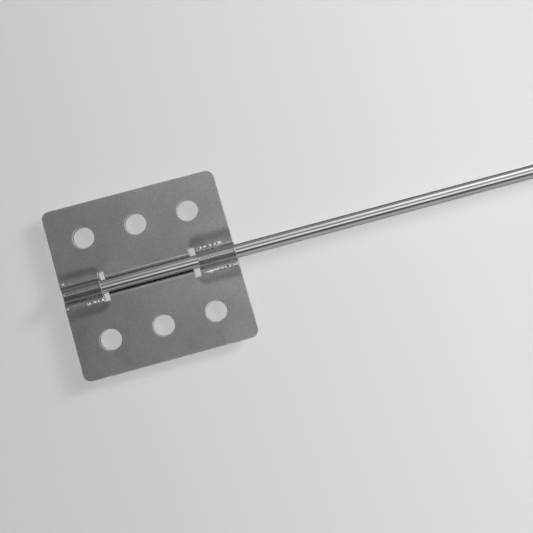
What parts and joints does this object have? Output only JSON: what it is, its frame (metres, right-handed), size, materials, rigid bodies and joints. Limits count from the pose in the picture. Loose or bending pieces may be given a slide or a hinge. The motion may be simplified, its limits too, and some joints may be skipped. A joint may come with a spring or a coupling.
{
  "type": "mortar mixing paddle",
  "caption": "Square perforated steel blade pressed round a straight round shaft and welded to it, driven by a drill to mix mortar in a bucket.",
  "frame": {"origin": "centre of the shaft's drive-end face", "axes": "+X along the shaft, out of its drive end; the blade's flat wings lie in the XY plane; +Z out of the blade's front, the side on which its bridges bulge"},
  "size_m": [0.61, 0.1574, 0.0156],
  "materials": {
    "blade_sheet": "satin mill-finish stainless sheet, finely grained",
    "shaft_bar": "polished stainless round bar",
    "weld_metal": "bright rippled stainless weld bead with heat tint"
  },
  "bodies": {
    "root": {"blade": "blade_sheet", "shaft": "shaft_bar", "weld_neck_upper_front": "weld_metal", "weld_neck_lower_front": "weld_metal", "weld_tip_lower_front": "weld_metal", "tack_tip_upper": "weld_metal", "tack_tip_lower": "weld_metal", "weld_tip_upper_back": "weld_metal", "weld_tip_lower_back": "weld_metal", "weld_neck_upper_back": "weld_metal", "weld_neck_lower_back": "weld_metal"}
  },
  "joints": []
}
